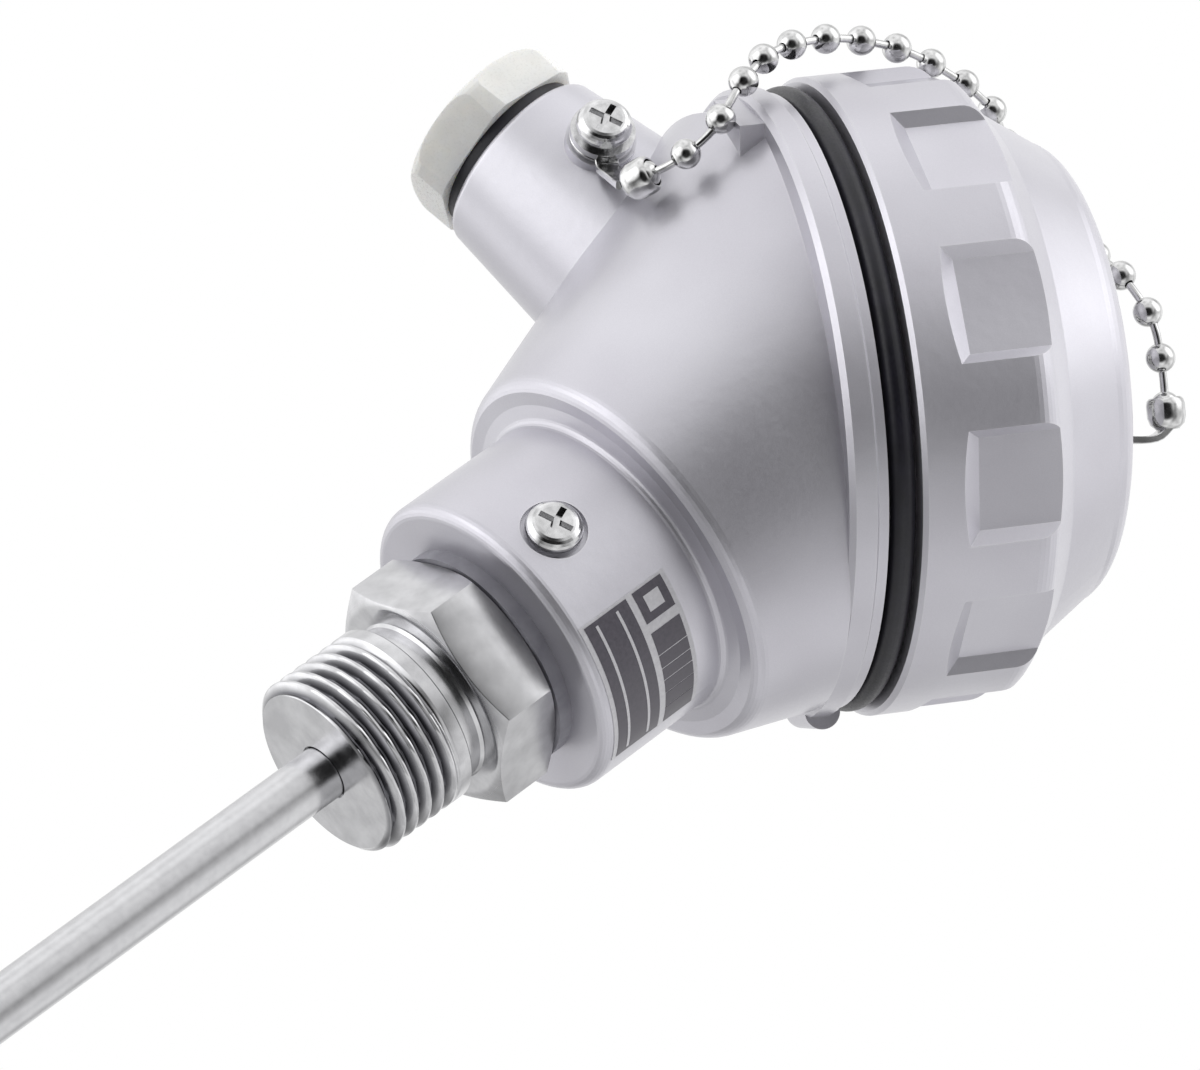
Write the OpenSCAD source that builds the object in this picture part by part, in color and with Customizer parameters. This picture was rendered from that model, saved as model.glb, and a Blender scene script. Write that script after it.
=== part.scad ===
// Resistance thermometer probe with a screw-cap connection head.
// Origin: centre of the hexagon's sealing face. The probe points down (-Z) and the head stands up (+Z).
// X is the plane of symmetry: the cap leans to +X and the cable entry points to -X. Sizes are in mm.

/* [Process connection] */
// Major diameter of the male process thread
thread_d = 20.955; // [19.955:0.1:21.955]
// Length of the male process thread
thread_len = 14; // [12:0.5:20]
// Hexagon across its flats
hex_af = 24; // [23:0.5:26]
// Height of the hexagon
hex_h = 8; // [6:0.5:10]

/* [Probe] */
// Outside diameter of the sheath
sheath_d = 6; // [5:0.5:8]
// Length of sheath below the process thread
sheath_len = 100; // [40:5:400]

/* [Neck] */
// Outside diameter of the neck
neck_d = 35.4; // [34:0.2:37]
// Height of the neck
neck_h = 17.2; // [15:0.2:22]

/* [Bowl] */
// Lean of the cap's axis from the probe's axis, in degrees
cap_tilt = 30.5; // [28:0.5:33]
// Height of the rim's centre above the top of the neck
rim_rise = 32.9; // [32:0.1:36]
// Set-back of the rim's centre from the probe's axis
rim_back = 1.7; // [0:0.1:2.5]
// Diameter of the rim flange
flange_d = 69; // [68:0.2:70.4]
// Wall thickness of the bowl
wall = 3.2; // [2.6:0.1:3.6]

/* [Cable entry] */
// Diameter of the cable entry thread
entry_d = 16; // [14:0.5:17]
// Reach of the cable entry from the probe's axis
entry_reach = 45.5; // [44:0.5:50]
// Drop of the cable entry below square, in degrees
entry_drop = 3; // [0:1:5]

/* [Screw cap] */
// Height of the cap over its lip
cap_h = 27.4; // [26.4:0.2:32]
// Number of grip pockets around the cap
pocket_count = 11; // [8:1:12]
// Depth of the grip pockets at their ends
pocket_depth = 0.9; // [0.5:0.1:1.2]

/* [Ball chain] */
// Diameter of one ball
ball_d = 3.3; // [2.4:0.1:3.4]
// Pitch of the balls along the chain
ball_pitch = 4.6; // [4.2:0.1:5.4]
// Direction of the chain around the cap's axis, in degrees
chain_angle = 213; // [209:1:217]

/* [Hidden] */
$fn = 64;

// clearances
fit = 0.05;        // round parts that sit in their holes
soft_gap = 0.3;    // rubber to what it touches
thread_gap = 0.4;  // cap's thread over the collar's

// process fitting
thread_r = thread_d / 2;
hex_r = hex_af / 2 / cos(30);
stem_r = hex_af / 2 - 2;
sheath_r = sheath_d / 2;
spigot_r = sheath_r - 0.25;
gasket_h = 1.7;

// neck
neck_r = neck_d / 2;
neck_z = hex_h + gasket_h;
neck_top = neck_z + neck_h;
neck_round = 1.3;
stem_top = neck_top - 3.5;
set_screw_z = neck_z + neck_h * 0.37;
screw_r = 2;

// bowl
shoulder_rise = 2.7;
shoulder_r = neck_r + 5.1;
bowl_z = neck_top + shoulder_rise;
bowl_slope = 0.33;
floor_z = neck_top + 3.7;
rim_z = neck_top + rim_rise;
flange_r = flange_d / 2;
flange_low = -6.1;
seat_a = -1.75;
upper_r = flange_r - 2.2;
collar_r = flange_r - 3.3;
collar_in = collar_r - wall;
collar_top = 12.5;
ring_r = 1.4;
beyond = flange_d + rim_rise;

// cable entry boss
entry_z = rim_z - 0.8;
entry_r = entry_d / 2;
boss_end_r = entry_r + 3;
boss_slope = 0.11;
boss_round = 1.1;

// plug
plug_gap = 1.4;
plug_af = 20;
plug_h = 5.6;
plug_thread = 8;

// earth screw on the side of the boss
earth_t = entry_reach - 9.6;
earth_x = -earth_t * cos(entry_drop);
earth_z = entry_z - earth_t * sin(entry_drop) + 0.8;
boss_side = boss_end_r + boss_slope * 9.3;
washer_r = 3.6;
function bowl_r(z) = shoulder_r + (z - bowl_z) * bowl_slope;
// the screw's seat stands off the boss, and clear of the bowl where the boss is short
earth_clear = washer_r + 0.8;
earth_near = bowl_r(earth_z + washer_r) + earth_clear;
earth_y = max(boss_side + 0.9, sqrt(max(0, earth_near * earth_near - earth_x * earth_x)));
tab_t = 0.8;
washer_t = 0.8;
head_r = 3.1;
head_h = 2.3;

// cap
lip_a = ring_r + 0.35;
cap_top = lip_a + cap_h;
cap_r = flange_r + 0.55;
cap_in = collar_r + thread_gap;
band_end = lip_a + cap_h * 0.585;
dome_a = band_end + 3.2;
dome_r = cap_r - 5.6;
face_r = cap_r - 9;
ceiling = cap_top - 2.6;
band_round = 3;
dome_round = 4.2;
pocket_turn = -70.6;
pocket_half = 6.05;
pad_h = 1.2;

// chain
ball_r = ball_d / 2;
link_r = 0.45;
cup_r = ball_r + 0.55;
cup_len = 3;

// terminal gear
plate_r = neck_r - 0.4;
plate_t = 1.5;
plate_z = floor_z;
block_r = plate_r - 1.7;
block_z = plate_z + plate_t;
block_h = 9.5;
core_top = block_z + 0.8;
clamp_r = block_r - 6;
clamp_size = 6;
clamp_h = 6.6;
clamp_low = 2.4;
gear_screw_r = 1.5;
gear_head_r = 2.7;
wire_r = 0.6;
wire_z = block_z + 6.4;

function arc(c, r, from, to, steps = 6) =
    [for (i = [0:steps]) c + r * [cos(from + (to - from) * i / steps), sin(from + (to - from) * i / steps)]];

// frame of the cap: Z along the cap's axis, origin in the middle of the O-ring
module cap_frame() {
    translate([-rim_back, 0, rim_z])
        rotate([0, cap_tilt, 0])
            children();
}

// frame of the cable entry: Z outwards along its axis
module entry_frame() {
    translate([0, 0, entry_z])
        rotate([0, -90 - entry_drop, 0])
            children();
}

// frame of a side screw: Z outwards along -Y
module side_frame(x, z) {
    translate([x, 0, z])
        rotate([90, 0, 0])
            children();
}

module ring(r_out, r_in, h) {
    difference() {
        cylinder(r = r_out, h = h);
        translate([0, 0, -1])
            cylinder(r = r_in, h = h + 2);
    }
}

// pan head with a cross recess, its underside at z = 0
module pan_head(r, h, recess = 1) {
    edge = h * 0.55;
    difference() {
        rotate_extrude()
            polygon(concat([[0, 0], [r, 0]], arc([r - edge, h - edge], edge, 0, 90), [[0, h]]));
        for (turn = [0, 90])
            rotate([0, 0, turn + 20])
                translate([-r * 0.62, -0.35, h - recess])
                    cube([r * 1.24, 0.7, recess + 1]);
    }
}

module pan_screw(r, h, shank, length) {
    union() {
        pan_head(r, h);
        translate([0, 0, -length])
            cylinder(r = shank, h = length + 0.2);
    }
}

// ---- the head ----

module bowl_profile(inset, low) {
    r0 = shoulder_r - inset;
    z1 = rim_z + 30;
    polygon(concat(
        [[0, low], [r0 - 1.6 + (low - bowl_z) * bowl_slope, low]],
        [[r0 + (low + 1.6 - bowl_z) * bowl_slope, low + 1.6]],
        [[r0 + (z1 - bowl_z) * bowl_slope, z1], [0, z1]]
    ));
}

// what lies outside a cylinder about the cap's axis, on the tall side of the bowl only
module tall_side_trim(r) {
    cap_frame()
        difference() {
            translate([-beyond, -beyond, -beyond])
                cube([beyond, 2 * beyond, 2 * beyond]);
            translate([0, 0, -beyond - 1])
                cylinder(r = r, h = 2 * beyond + 2);
        }
}

module above_flange(a) {
    cap_frame()
        translate([-beyond, -beyond, a])
            cube([2 * beyond, 2 * beyond, beyond]);
}

module bowl_outside() {
    difference() {
        rotate_extrude()
            polygon(concat(
                [[0, neck_top - 1], [neck_r, neck_top - 1]],
                arc([neck_r + 0.8, neck_top - 0.6], 0.8, 180, 100, 4),
                [[shoulder_r - 3, neck_top + 0.5]],
                arc([shoulder_r - 2.2, bowl_z - 0.1], 2.2, -70, -18, 5),
                [[shoulder_r + (rim_z + 30 - bowl_z) * bowl_slope, rim_z + 30], [0, rim_z + 30]]
            ));
        tall_side_trim(upper_r);
        above_flange(flange_low + 0.5);
    }
}

module neck_outside() {
    rotate_extrude()
        polygon(concat(
            [[0, neck_z]],
            arc([neck_r - neck_round, neck_z + neck_round], neck_round, -90, 0),
            [[neck_r, neck_top], [0, neck_top]]
        ));
}

module flange_and_collar() {
    cap_frame()
        rotate_extrude()
            polygon([
                [collar_in - 6, flange_low],
                [flange_r - 0.6, flange_low],
                [flange_r, flange_low + 0.6],
                [flange_r, flange_low + 2.9],
                [flange_r - 0.7, flange_low + 3.3],
                [flange_r - 0.7, seat_a],
                [collar_r, seat_a],
                [collar_r, collar_top - 0.8],
                [collar_r - 0.8, collar_top],
                [collar_in - 6, collar_top]
            ]);
}

module boss_outside() {
    inner_r = boss_end_r + boss_slope * (entry_reach - 14);
    entry_frame()
        rotate_extrude()
            polygon(concat(
                [[0, 14], [inner_r, 14]],
                arc([boss_end_r - boss_round, entry_reach - boss_round], boss_round, 0, 90),
                [[0, entry_reach]]
            ));
    side_frame(earth_x, earth_z)
        translate([0, 0, boss_side - 3.1])
            cylinder(r = washer_r + 0.3, h = earth_y - boss_side + 3.1);
}

// low cast pad below the flange, beside the chain
module cast_pad() {
    cap_frame()
        rotate([0, 0, chain_angle + 20])
            translate([upper_r - 4, -5, flange_low - 2.8])
                cube([5.2, 10, 3.4]);
    // small ear on the flange's far side
    cap_frame()
        rotate([0, 0, chain_angle - 180])
            translate([flange_r - 0.8, 4, -3.9])
                rotate([90, 0, 0])
                    cylinder(r = 2, h = 8);
}

module bowl_inside() {
    difference() {
        rotate_extrude()
            bowl_profile(wall, floor_z);
        tall_side_trim(upper_r - wall - 1);
        above_flange(flange_low + 1);
    }
    cap_frame()
        translate([0, 0, flange_low - 2])
            cylinder(r = collar_in, h = beyond);
}

module head_body() {
    color([0.80, 0.80, 0.82])
        difference() {
            union() {
                neck_outside();
                bowl_outside();
                flange_and_collar();
                boss_outside();
                cast_pad();
            }
            bowl_inside();
            // bore for the fitting, through the neck
            translate([0, 0, neck_z - 1])
                cylinder(r = stem_r + fit, h = neck_h + 10);
            // cable entry
            entry_frame()
                translate([0, 0, 12])
                    cylinder(r = entry_r + fit, h = entry_reach);
            // set screw in the neck
            side_frame(0, set_screw_z)
                cylinder(r = screw_r + fit, h = neck_r + 5);
            side_frame(0, set_screw_z)
                translate([0, 0, neck_r - 0.9])
                    cylinder(r = head_r + 0.5, h = 5);
            // earth screw in the boss
            side_frame(earth_x, earth_z)
                translate([0, 0, earth_y - 3.3])
                    cylinder(r = screw_r + fit, h = 10);
            // screws of the mounting plate
            for (side = [-1, 1])
                translate([0, side * plate_screw_y(), floor_z - 7])
                    cylinder(r = gear_screw_r + fit, h = 10);
        }
}

function plate_screw_y() = block_r - 1.95;

// ---- the screw cap ----

// one grip pocket, cut along +X: flat floor, sloping ends, open towards the dome
module pocket_cutter() {
    edge_r = sqrt(cap_r * cap_r - pocket_half * pocket_half) - 0.45;
    floor_r = edge_r - pocket_depth;
    near = lip_a + 5.4;
    intersection() {
        translate([0, 0, near - 2])
            linear_extrude(height = dome_a - near + 2)
                polygon([
                    [floor_r, -pocket_half + pocket_depth], [floor_r + 6, -pocket_half - 6 + pocket_depth],
                    [floor_r + 6, pocket_half + 6 - pocket_depth], [floor_r, pocket_half - pocket_depth]
                ]);
        rotate([90, 0, 0])
            translate([0, 0, -20])
                linear_extrude(height = 40)
                    polygon([
                        [floor_r, near + pocket_depth + 0.3], [floor_r + 6, near - 6 + 0.3],
                        [floor_r + 6, dome_a + 8], [floor_r, dome_a + 8]
                    ]);
    }
}

module screw_cap() {
    color([0.80, 0.80, 0.82])
        cap_frame()
            difference() {
                rotate_extrude()
                    polygon(concat(
                        [[cap_in, lip_a], [cap_r - 0.5, lip_a], [cap_r, lip_a + 0.5]],
                        arc([cap_r - band_round, band_end - band_round], band_round, 0, 62, 6),
                        arc([dome_r + 1.7, dome_a - 0.2], 1.3, 242, 208, 3),
                        arc([face_r - dome_round, cap_top - dome_round], dome_round, 22, 90, 7),
                        [[0, cap_top], [0, ceiling], [face_r - 3.2, ceiling]],
                        [[dome_r - 3.2, dome_a - 1.4], [cap_in - 1.2, band_end - 3], [cap_in, band_end - 4]]
                    ));
                for (i = [0:pocket_count - 1])
                    rotate([0, 0, pocket_turn + i * 360 / pocket_count])
                        pocket_cutter();
                translate([0, 0, ceiling - 1])
                    cylinder(r = screw_r + fit, h = 20);
            }
    color([0.80, 0.80, 0.82])
        cap_frame()
            translate([0, 0, cap_top - 0.5])
                ring(5.2, screw_r + fit, pad_h + 0.5);
}

module cap_o_ring() {
    color([0.08, 0.07, 0.11])
        cap_frame()
            rotate_extrude()
                translate([collar_r + soft_gap + ring_r, 0])
                    circle(r = ring_r);
}

// ---- process fitting, gasket and neck screw ----

module process_fitting() {
    color([0.72, 0.71, 0.70])
        difference() {
            union() {
                rotate_extrude()
                    polygon([
                        [0, -thread_len], [thread_r - 1.1, -thread_len], [thread_r, -thread_len + 0.9],
                        [thread_r, 0.5],
                        [stem_r - 1, 0.5], [stem_r - 1, hex_h + 0.5], [stem_r - 1, neck_z + 0.6],
                        [stem_r, neck_z + 1.2], [stem_r, stem_top - 0.8], [stem_r - 0.8, stem_top],
                        [0, stem_top]
                    ]);
                intersection() {
                    rotate([0, 0, 21.5])
                        cylinder(r = hex_r, h = hex_h, $fn = 6);
                    rotate_extrude()
                        polygon([
                            [0, 0], [hex_af / 2 - 0.3, 0], [hex_r + 0.3, 1.25],
                            [hex_r + 0.3, hex_h - 1.25], [hex_af / 2 - 0.3, hex_h], [0, hex_h]
                        ]);
                }
            }
            translate([0, 0, -thread_len - 1])
                cylinder(r = spigot_r + fit, h = thread_len + stem_top + 2);
        }
}

module neck_gasket() {
    color([0.10, 0.10, 0.11])
        translate([0, 0, hex_h])
            ring(hex_af / 2 + 0.6, stem_r + soft_gap, gasket_h);
}

module neck_set_screw() {
    color([0.75, 0.74, 0.72])
        side_frame(0, set_screw_z)
            translate([0, 0, neck_r - 0.9])
                pan_screw(head_r, head_h, screw_r, neck_r - 0.9 - stem_r - 0.15);
}

// ---- the probe ----

module probe_sheath() {
    tip = -thread_len - sheath_len;
    color([0.70, 0.69, 0.68])
        difference() {
            union() {
                translate([0, 0, tip + sheath_r])
                    cylinder(r = sheath_r, h = sheath_len - sheath_r);
                translate([0, 0, -thread_len - 1])
                    cylinder(r = spigot_r, h = block_z + thread_len + 1);
                translate([0, 0, tip + sheath_r])
                    sphere(r = sheath_r);
            }
            translate([0, 0, tip + sheath_r])
                cylinder(r = sheath_r - 0.6, h = 2 * sheath_len + 100);
        }
}

module sheath_core() {
    low = -thread_len - sheath_len + sheath_r;
    color([0.93, 0.91, 0.86])
        difference() {
            translate([0, 0, low])
                cylinder(r = sheath_r - 0.6 - fit, h = core_top - low);
            translate([0, 0, low - 1])
                cylinder(r = sheath_r * 0.4 + fit, h = 21);
        }
}

module sensing_element() {
    low = -thread_len - sheath_len + sheath_r;
    color([0.95, 0.95, 0.93])
        translate([0, 0, low + 1])
            cylinder(r = sheath_r * 0.4, h = 18);
}

// ---- plug of the cable entry ----

module cable_plug() {
    color([0.88, 0.88, 0.86])
        entry_frame() {
            translate([0, 0, entry_reach + plug_gap])
                intersection() {
                    rotate([0, 0, 12])
                        cylinder(r = plug_af / 2 / cos(30), h = plug_h, $fn = 6);
                    rotate_extrude()
                        polygon(concat(
                            [[0, 0], [plug_af / 2 + 1, 0]],
                            arc([plug_af / 2 - 0.9, plug_h - 2], 2, 5, 90, 5),
                            [[0, plug_h]]
                        ));
                }
            translate([0, 0, entry_reach - plug_thread])
                difference() {
                    cylinder(r = entry_r, h = plug_thread + plug_gap + 0.5);
                    translate([0, 0, -1])
                        cylinder(r = entry_r - 2, h = plug_thread + 1);
                }
        }
}

module plug_gasket() {
    color([0.07, 0.07, 0.08])
        entry_frame()
            translate([0, 0, entry_reach])
                ring(entry_r + 1.6, entry_r + soft_gap, plug_gap);
}

// ---- earth screw, eyelet and chain ----

module earth_frame() {
    side_frame(earth_x, earth_z)
        translate([0, 0, earth_y])
            children();
}

module earth_screw() {
    color([0.78, 0.77, 0.75])
        earth_frame()
            translate([0, 0, tab_t + washer_t])
                pan_screw(head_r, head_h, screw_r, tab_t + washer_t + 3);
}

module earth_washer() {
    color([0.70, 0.69, 0.67])
        earth_frame()
            translate([0, 0, tab_t])
                ring(washer_r, screw_r + fit, washer_t);
}

// centre line of the chain in the cap's frame, turned to chain_angle: outwards, sideways, along the axis
chain_run = [
    [25.8, 9.9, -18.2], [27.0, 12.5, -15.2], [29.8, 13.8, -11.2], [34.2, 12.4, -7.4],
    [37.8, 6.2, -2.2], [38.9, 2.2, 4.0], [38.4, -0.4, 10.0], [36.0, -3.8, 17.6],
    [30.2, -8.0, 26.2], [23.0, -13.2, 30.2], [15.6, -11.0, 33.4], [10.6, 0.4, 35.9],
    [4.6, 4.2, 38.3], [-1.0, 4.0, 39.0], [-5.2, 4.0, 38.9]
];
chain_scale = flange_r / 34.5;
chain_clear = 3;

// a point of the chain's frame in the part's frame, and back
function in_part(p) =
    let (x = p[0] * cos(chain_angle) - p[1] * sin(chain_angle), y = p[0] * sin(chain_angle) + p[1] * cos(chain_angle))
    [x * cos(cap_tilt) + p[2] * sin(cap_tilt) - rim_back, y, rim_z - x * sin(cap_tilt) + p[2] * cos(cap_tilt)];
function in_chain(q) =
    let (
        x = (q[0] + rim_back) * cos(cap_tilt) - (q[2] - rim_z) * sin(cap_tilt),
        a = (q[0] + rim_back) * sin(cap_tilt) + (q[2] - rim_z) * cos(cap_tilt)
    )
    [x * cos(chain_angle) + q[1] * sin(chain_angle), q[1] * cos(chain_angle) - x * sin(chain_angle), a];

// a point below the flange is moved out until it clears the bowl
function off_bowl(p) =
    let (q = in_part(p), out = norm([q[0], q[1]]), need = bowl_r(q[2]) + chain_clear)
    p[2] > flange_low || out >= need ? p : in_chain([q[0] * need / out, q[1] * need / out, q[2]]);

function chain_place(p) =
    [p[0] * chain_scale, p[1] * chain_scale, p[2] + (p[2] > 14 ? cap_top - 29.15 : 0)];
chain_pts = [for (p = chain_run) off_bowl(chain_place(p))];
chain_parts = len(chain_pts) - 1;
function pick(i) = chain_pts[max(0, min(chain_parts, i))];
function spline(a, b, c, d, t) =
    0.5 * (2 * b + (c - a) * t + (2 * a - 5 * b + 4 * c - d) * t * t + (3 * b - a - 3 * c + d) * t * t * t);
function chain_at(s) =
    let (i = min(chain_parts - 1, floor(s)), t = s - i)
    spline(pick(i - 1), pick(i), pick(i + 1), pick(i + 2), t);
chain_steps = 20 * chain_parts;
chain_fine = [for (k = [0:chain_steps]) chain_at(k / 20)];
function run_length(k) = k == 0 ? 0 : run_length(k - 1) + norm(chain_fine[k] - chain_fine[k - 1]);
chain_table = [for (k = [0:chain_steps]) [run_length(k), k / 20]];
chain_total = chain_table[chain_steps][0];
ball_count = floor(chain_total / ball_pitch) + 1;
ball_step = chain_total / (ball_count - 1);
function ball_pos(i) = chain_at(lookup(i * ball_step, chain_table));
function chain_way(i) = ball_pos(min(ball_count - 1, i + 1)) - ball_pos(max(0, i - 1));
fixed_balls = round(ball_count * 0.36);

module chain_frame() {
    cap_frame()
        rotate([0, 0, chain_angle])
            children();
}

module aim(from, to) {
    v = to - from;
    translate(from)
        rotate([0, acos(v[2] / norm(v)), atan2(v[1], v[0])])
            children();
}

module chain_piece(first, last, tail) {
    chain_frame() {
        for (i = [first:last])
            aim(ball_pos(i), ball_pos(i) + chain_way(i))
                rotate([90, 0, 0])
                    sphere(r = ball_r, $fn = 20);
        for (i = [first:last - 1 + tail])
            aim(ball_pos(i), ball_pos(i + 1))
                cylinder(r = link_r, h = norm(ball_pos(i + 1) - ball_pos(i)) - (i == last ? ball_r + 0.1 : 0), $fn = 16);
    }
}

module chain_fixed_run() {
    color([0.62, 0.60, 0.57])
        chain_piece(0, fixed_balls - 1, 1);
}

module chain_free_run() {
    color([0.62, 0.60, 0.57])
        chain_piece(fixed_balls, ball_count - 1, 0);
}

// cup that holds an end ball: its mouth faces the run
module ball_cup(ball, next) {
    aim(ball, next)
        difference() {
            translate([0, 0, -ball_r - 0.9])
                cylinder(r = cup_r, h = cup_len);
            sphere(r = ball_r + 0.12);
            cylinder(r = link_r + 0.5, h = 10);
        }
}

// a point of the chain's frame, seen from the earth screw
function at_earth(p) =
    let (q = in_part(p))
    [q[0] - earth_x, q[2] - earth_z, -q[1] - earth_y];

module chain_eyelet() {
    way = chain_way(0) / norm(chain_way(0));
    cup = at_earth(ball_pos(0) - (ball_r + 0.5) * way);
    turn = atan2(cup[1], cup[0]);
    bend = [6 * cos(turn), 6 * sin(turn), tab_t / 2];
    color([0.66, 0.64, 0.61])
        union() {
            earth_frame()
                ring(washer_r, screw_r + fit, tab_t);
            earth_frame() {
                rotate([0, 0, turn])
                    translate([3, -1.3, 0])
                        cube([3.6, 2.6, tab_t]);
                aim(bend, cup)
                    cylinder(r = 0.8, h = norm(cup - bend), $fn = 24);
            }
            chain_frame()
                ball_cup(ball_pos(0), ball_pos(1));
        }
}

module cap_anchor() {
    base = cap_top + pad_h;
    last = ball_pos(ball_count - 1);
    post = last[0] - ball_r - 0.9;
    color([0.60, 0.58, 0.55])
        union() {
            chain_frame() {
                translate([0, 0, base])
                    ring(4.6, screw_r + fit, tab_t);
                translate([post, last[1] - 1.5, base])
                    cube([-post - 2.4, 3, tab_t]);
                translate([post, last[1] - 1.5, base])
                    cube([0.8, 3, last[2] - base]);
                ball_cup(last, ball_pos(ball_count - 2));
            }
        }
}

module anchor_screw() {
    color([0.78, 0.77, 0.75])
        cap_frame()
            translate([0, 0, cap_top + pad_h + tab_t])
                pan_screw(head_r, head_h, screw_r, pad_h + tab_t + 2.4);
}

// ---- terminal gear inside the bowl ----

module mounting_plate() {
    color([0.72, 0.72, 0.71])
        translate([0, 0, plate_z])
            difference() {
                cylinder(r = plate_r, h = plate_t);
                translate([0, 0, -1])
                    cylinder(r = spigot_r + fit, h = 5);
                for (side = [-1, 1])
                    translate([0, side * plate_screw_y(), -1])
                        cylinder(r = gear_screw_r + fit, h = 5);
            }
}

module at_clamps() {
    for (turn = [45:90:315])
        rotate([0, 0, turn])
            translate([clamp_r, 0, 0])
                children();
}

module terminal_block() {
    color([0.94, 0.93, 0.89])
        translate([0, 0, block_z])
            difference() {
                cylinder(r = block_r, h = block_h);
                translate([0, 0, -1])
                    cylinder(r = sheath_r + 2, h = block_h + 2);
                at_clamps()
                    translate([-clamp_size / 2 - 0.1, -clamp_size / 2 - 0.1, clamp_low])
                        cube([clamp_size + 0.2, clamp_size + 0.2, block_h]);
                for (turn = [45:90:315])
                    rotate([0, 0, turn])
                        translate([sheath_r, -1.1, 5.3])
                            cube([clamp_r - clamp_size / 2 - sheath_r + 1.4, 2.2, block_h]);
                for (side = [-1, 1])
                    translate([0, side * plate_screw_y(), -1]) {
                        cylinder(r = gear_screw_r + fit, h = 20);
                        translate([0, 0, 5])
                            cylinder(r = gear_head_r + 0.3, h = 20);
                    }
            }
}

module plate_screws() {
    color([0.78, 0.77, 0.75])
        for (side = [-1, 1])
            translate([0, side * plate_screw_y(), block_z + 4])
                pan_screw(gear_head_r, 2, gear_screw_r, 4 + plate_t + 6);
}

module terminal_clamps() {
    color([0.80, 0.64, 0.30])
        at_clamps()
            translate([0, 0, block_z + clamp_low])
                difference() {
                    translate([-clamp_size / 2, -clamp_size / 2, 0])
                        cube([clamp_size, clamp_size, clamp_h]);
                    translate([-4, 0, 4])
                        rotate([0, 90, 0])
                            cylinder(r = wire_r + 0.1, h = 5);
                    translate([0, 0, 5])
                        cylinder(r = gear_screw_r + fit, h = 5);
                }
}

module terminal_screws() {
    color([0.82, 0.68, 0.36])
        at_clamps()
            translate([0, 0, block_z + clamp_low + clamp_h])
                pan_screw(2.6, 1.8, gear_screw_r, 1.5);
}

// three leads, each up out of the sheath and across into its clamp
module lead_wires() {
    bend = 2;
    start = sheath_r * 0.45;
    color([0.86, 0.30, 0.22])
        for (turn = [45:90:225])
            rotate([0, 0, turn]) {
                translate([start, 0, core_top])
                    cylinder(r = wire_r, h = wire_z - bend - core_top);
                translate([start + bend, 0, wire_z - bend])
                    rotate([90, 0, 0])
                        rotate_extrude(angle = 90, start = 90)
                            translate([bend, 0])
                                circle(r = wire_r);
                translate([start + bend, 0, wire_z])
                    rotate([0, 90, 0])
                        cylinder(r = wire_r, h = clamp_r - 2.2 - start - bend);
            }
}

head_body();
screw_cap();
cap_o_ring();
process_fitting();
neck_gasket();
neck_set_screw();
probe_sheath();
sheath_core();
sensing_element();
cable_plug();
plug_gasket();
earth_screw();
earth_washer();
chain_eyelet();
chain_fixed_run();
chain_free_run();
cap_anchor();
anchor_screw();
mounting_plate();
terminal_block();
plate_screws();
terminal_clamps();
terminal_screws();
lead_wires();
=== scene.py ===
import math
import bpy
import bmesh
from mathutils import Matrix, Vector


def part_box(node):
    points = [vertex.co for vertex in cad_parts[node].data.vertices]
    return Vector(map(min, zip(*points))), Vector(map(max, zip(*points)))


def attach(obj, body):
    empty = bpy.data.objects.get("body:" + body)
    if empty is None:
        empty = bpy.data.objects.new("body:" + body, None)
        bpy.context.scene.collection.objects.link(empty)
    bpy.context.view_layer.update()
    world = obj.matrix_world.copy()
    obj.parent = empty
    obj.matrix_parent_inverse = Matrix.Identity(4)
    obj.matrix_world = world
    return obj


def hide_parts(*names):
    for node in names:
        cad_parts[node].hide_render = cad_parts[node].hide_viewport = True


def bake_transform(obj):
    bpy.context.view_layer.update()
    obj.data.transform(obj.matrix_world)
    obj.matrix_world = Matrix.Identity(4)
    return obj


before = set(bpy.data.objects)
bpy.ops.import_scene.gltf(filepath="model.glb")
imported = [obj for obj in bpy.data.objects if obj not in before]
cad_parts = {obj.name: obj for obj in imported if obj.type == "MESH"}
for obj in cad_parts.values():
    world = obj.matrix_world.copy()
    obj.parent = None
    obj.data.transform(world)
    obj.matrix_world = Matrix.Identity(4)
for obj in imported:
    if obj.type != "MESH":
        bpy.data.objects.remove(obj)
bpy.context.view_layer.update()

MM = 0.001
scene = bpy.context.scene

# ---------------------------------------------------------------- camera
# looks up at the head from below and in front of the cable entry; its turn, place and lens are fitted numbers
RIGHT = Vector((0.683487, -0.134884, 0.717392))
UP = Vector((-0.653801, -0.550191, 0.519455))
BACK = Vector((0.324637, -0.824073, -0.464236))
STAND = Vector((228.187, -587.788, -301.891)) * MM
lens = bpy.data.cameras.new("camera")
lens.lens = 199.87
lens.sensor_width = 36.0
lens.sensor_fit = "HORIZONTAL"
lens.clip_start = 0.01
lens.clip_end = 20.0
camera = bpy.data.objects.new("camera", lens)
scene.collection.objects.link(camera)
camera.matrix_world = Matrix.Translation(STAND) @ Matrix((RIGHT, UP, BACK)).transposed().to_4x4()
scene.camera = camera
scene.view_settings.view_transform = "Standard"

# ---------------------------------------------------------------- sizes that finishes and pieces share, in mm
# the process fitting's half-inch pipe thread; heights are measured from the hexagon's lower face
PITCH = 1.814
THREAD_R, THREAD_LEN, THREAD_DEPTH = 10.4775, 14.0, 1.08
UNDERCUT_R = THREAD_R - 1.2


# ---------------------------------------------------------------- finishes
def colour(code):
    """An sRGB hex colour as the linear RGBA that a shader takes."""
    parts = [int(code[i:i + 2], 16) / 255.0 for i in (1, 3, 5)]
    return tuple(c / 12.92 if c <= 0.04045 else ((c + 0.055) / 1.055) ** 2.4 for c in parts) + (1.0,)


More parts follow.
